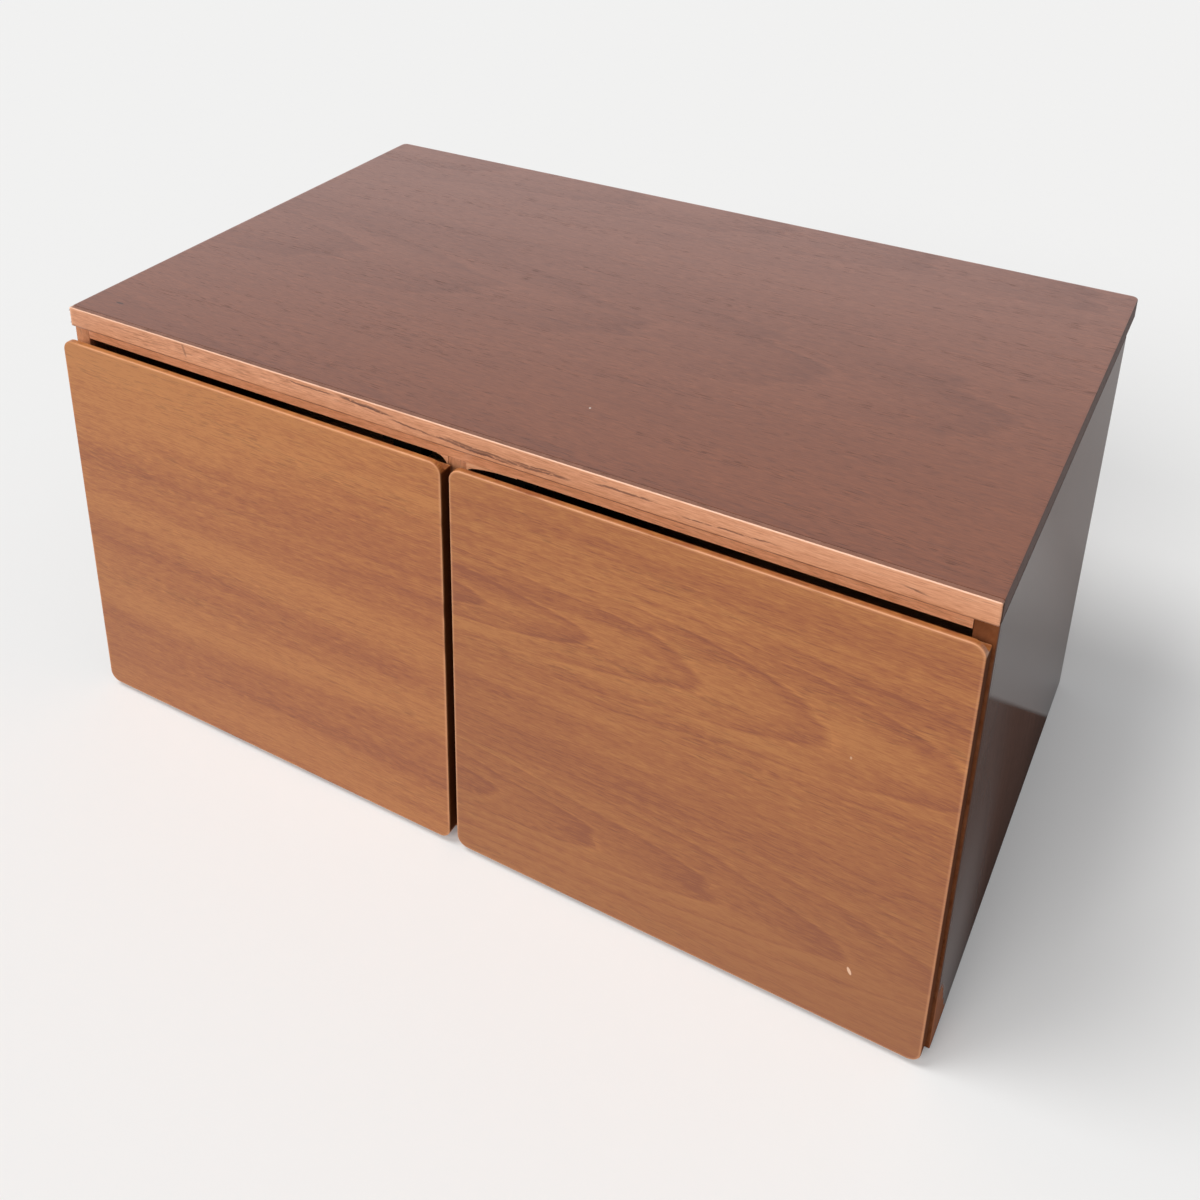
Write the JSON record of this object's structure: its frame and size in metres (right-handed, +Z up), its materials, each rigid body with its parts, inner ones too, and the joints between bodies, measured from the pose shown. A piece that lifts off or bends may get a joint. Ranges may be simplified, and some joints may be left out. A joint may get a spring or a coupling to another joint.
{
  "type": "modular cabinet",
  "caption": "Low wood-veneered floor cabinet with an overhanging top, rounded doors on concealed hinges, finger-pull rebates and shelved bays.",
  "frame": {"origin": "on the floor, under the middle of the bounding box of the whole cabinet with its doors shut", "axes": "+X along the width to the right as seen from the front, +Y from the doors towards the back, +Z up"},
  "size_m": [0.8, 0.5152, 0.4],
  "materials": {
    "teak_veneer": "satin teak veneer, grain along X on the doors",
    "top_veneer": "satin, darkened teak veneer with fine pores along X",
    "teak_lipping": "satin solid teak",
    "inner_veneer": "matt veneer",
    "backing_board": "matt board",
    "plated_steel": "bright plated",
    "brown_plastic": "moulded, dark brown"
  },
  "bodies": {
    "carcass": {"top_panel": "top_veneer", "top_front_lipping": "teak_lipping", "left_side_panel": "teak_veneer", "right_side_panel": "teak_veneer", "left_side_lipping": "teak_lipping", "right_side_lipping": "teak_lipping", "bottom_panel": "inner_veneer", "bottom_front_lipping": "teak_lipping", "centre_divider": "teak_veneer", "divider_lipping": "teak_lipping", "front_rail": "teak_lipping", "rear_rail": "teak_lipping", "back_panel": "backing_board", "left_shelf": "inner_veneer", "right_shelf": "inner_veneer", "left_shelf_pin_front_outer": "plated_steel", "left_shelf_pin_front_inner": "plated_steel", "left_shelf_pin_back_outer": "plated_steel", "left_shelf_pin_back_inner": "plated_steel", "right_shelf_pin_front_outer": "plated_steel", "right_shelf_pin_front_inner": "plated_steel", "right_shelf_pin_back_outer": "plated_steel", "right_shelf_pin_back_inner": "plated_steel", "left_front_glide": "brown_plastic", "right_front_glide": "brown_plastic", "left_back_glide": "brown_plastic", "right_back_glide": "brown_plastic", "left_lower_hinge_arm": "plated_steel", "left_upper_hinge_arm": "plated_steel", "right_lower_hinge_arm": "plated_steel", "right_upper_hinge_arm": "plated_steel", "left_lower_hinge_plate": "brown_plastic", "left_upper_hinge_plate": "brown_plastic", "right_lower_hinge_plate": "brown_plastic", "right_upper_hinge_plate": "brown_plastic", "left_lower_hinge_screw": "plated_steel", "left_upper_hinge_screw": "plated_steel", "right_lower_hinge_screw": "plated_steel", "right_upper_hinge_screw": "plated_steel", "left_catch": "brown_plastic", "right_catch": "brown_plastic", "left_catch_screw": "plated_steel", "right_catch_screw": "plated_steel"},
    "left_leaf": {"left_door": "teak_veneer", "left_lower_hinge_cup": "plated_steel", "left_upper_hinge_cup": "plated_steel", "left_lower_hinge_pin": "plated_steel", "left_upper_hinge_pin": "plated_steel", "left_strike_plate": "plated_steel", "left_strike_screw": "plated_steel", "left_door_buffer": "brown_plastic"},
    "right_leaf": {"right_door": "teak_veneer", "right_lower_hinge_cup": "plated_steel", "right_upper_hinge_cup": "plated_steel", "right_lower_hinge_pin": "plated_steel", "right_upper_hinge_pin": "plated_steel", "right_strike_plate": "plated_steel", "right_strike_screw": "plated_steel", "right_door_buffer": "brown_plastic"}
  },
  "joints": [
    {"name": "left_door_hinge", "type": "hinge", "parent": "carcass", "child": "left_leaf", "pos_m": [-0.391, -0.25115, 0.005], "axis": [0, 0, -1], "range_deg": [0, 95]},
    {"name": "right_door_hinge", "type": "hinge", "parent": "carcass", "child": "right_leaf", "pos_m": [0.391, -0.25115, 0.005], "axis": [0, 0, 1], "range_deg": [0, 95]}
  ]
}
